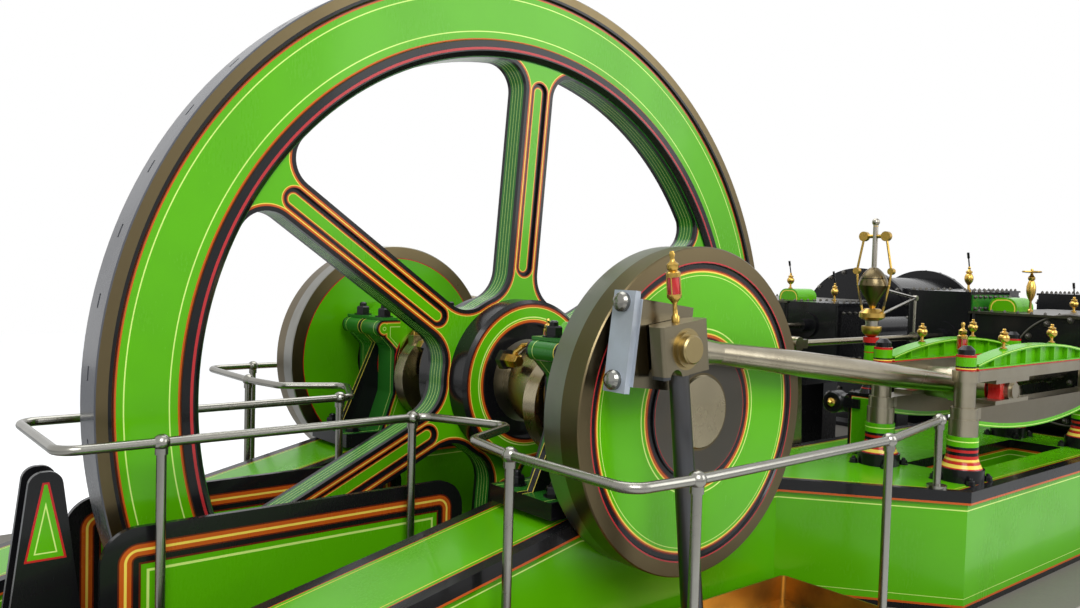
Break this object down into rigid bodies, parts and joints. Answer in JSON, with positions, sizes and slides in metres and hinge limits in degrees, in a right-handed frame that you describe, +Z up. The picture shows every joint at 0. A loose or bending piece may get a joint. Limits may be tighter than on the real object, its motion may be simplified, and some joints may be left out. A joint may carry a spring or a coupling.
{
  "type": "stationary steam engine",
  "caption": "Horizontal steam engine with a large spoked flywheel between its lines, crank discs, connecting rods, crosshead guides, tandem cylinders, guard rails and a masonry base",
  "frame": {"origin": "middle of the foundation's footprint, on the ground", "axes": "+X along the engine lines from the flywheel to the cylinders, +Y across the lines, +Z up"},
  "size_m": [9.7, 4.06, 4.0799],
  "materials": {
    "green_paint": "gloss enamel with lining",
    "black_paint": "gloss enamel",
    "red_paint": "gloss enamel",
    "bright_steel": "polished and oiled",
    "dark_steel": "machined, browned with oil",
    "brass": "polished",
    "copper": "dulled sheet",
    "black_iron": "black lagging and castings",
    "stonework": "dressed blocks"
  },
  "bodies": {
    "engine": {"air_pump_far": "black_paint", "air_pump_near": "black_paint", "barring_stand": "black_paint", "bearing_bush_far": "brass", "bearing_bush_near": "brass", "bearing_cap_far": "green_paint", "bearing_cap_near": "green_paint", "bed_far": "green_paint", "bed_near": "green_paint", "connecting_rod_far": "bright_steel", "connecting_rod_near": "bright_steel", "crank_pin_far": "bright_steel", "crank_pin_near": "bright_steel", "crosshead_far": "red_paint", "crosshead_near": "red_paint", "eccentric_far": "bright_steel", "eccentric_near": "bright_steel", "foundation_far": "stonework", "foundation_near": "stonework", "governor_column": "brass", "governor_gear": "bright_steel", "guard_plates_far": "green_paint", "guard_plates_near": "green_paint", "guide_posts_far": "green_paint", "guide_posts_near": "green_paint", "handrail_far": "bright_steel", "handrail_near": "bright_steel", "high_chest_far": "black_iron", "high_chest_near": "black_iron", "high_cylinder_far": "black_iron", "high_cylinder_near": "black_iron", "low_chest_far": "black_iron", "low_chest_near": "black_iron", "low_cylinder_far": "black_iron", "low_cylinder_near": "black_iron", "oil_cups_far": "brass", "oil_cups_near": "brass", "oil_tray_far": "copper", "oil_tray_near": "copper", "pedestal_far": "green_paint", "pedestal_near": "green_paint", "piston_rod_far": "bright_steel", "piston_rod_near": "bright_steel", "pump_lever_far": "black_paint", "pump_lever_near": "black_paint", "pump_rod_far": "dark_steel", "pump_rod_near": "dark_steel", "rail_stanchions": "bright_steel", "slide_bars_far": "green_paint", "slide_bars_near": "green_paint", "valve_rod_far": "bright_steel", "valve_rod_near": "bright_steel", "wheel_pit_walls": "stonework"},
    "rotor": {"flywheel": "green_paint", "crankshaft": "bright_steel", "crank_disc_near": "dark_steel", "crank_disc_far": "dark_steel"},
    "governor": {"governor_head": "bright_steel"}
  },
  "joints": [
    {"name": "crankshaft_turn", "type": "hinge", "parent": "engine", "child": "rotor", "pos_m": [-2.29, 0, 2.1], "axis": [0, 1, 0], "continuous": true},
    {"name": "governor_turn", "type": "hinge", "parent": "engine", "child": "governor", "pos_m": [-0.49, -0.975, 2.1], "axis": [0, 0, 1], "continuous": true}
  ],
  "couplings": [
    {"joint": "governor_turn", "follows": "crankshaft_turn", "ratio": 2}
  ]
}
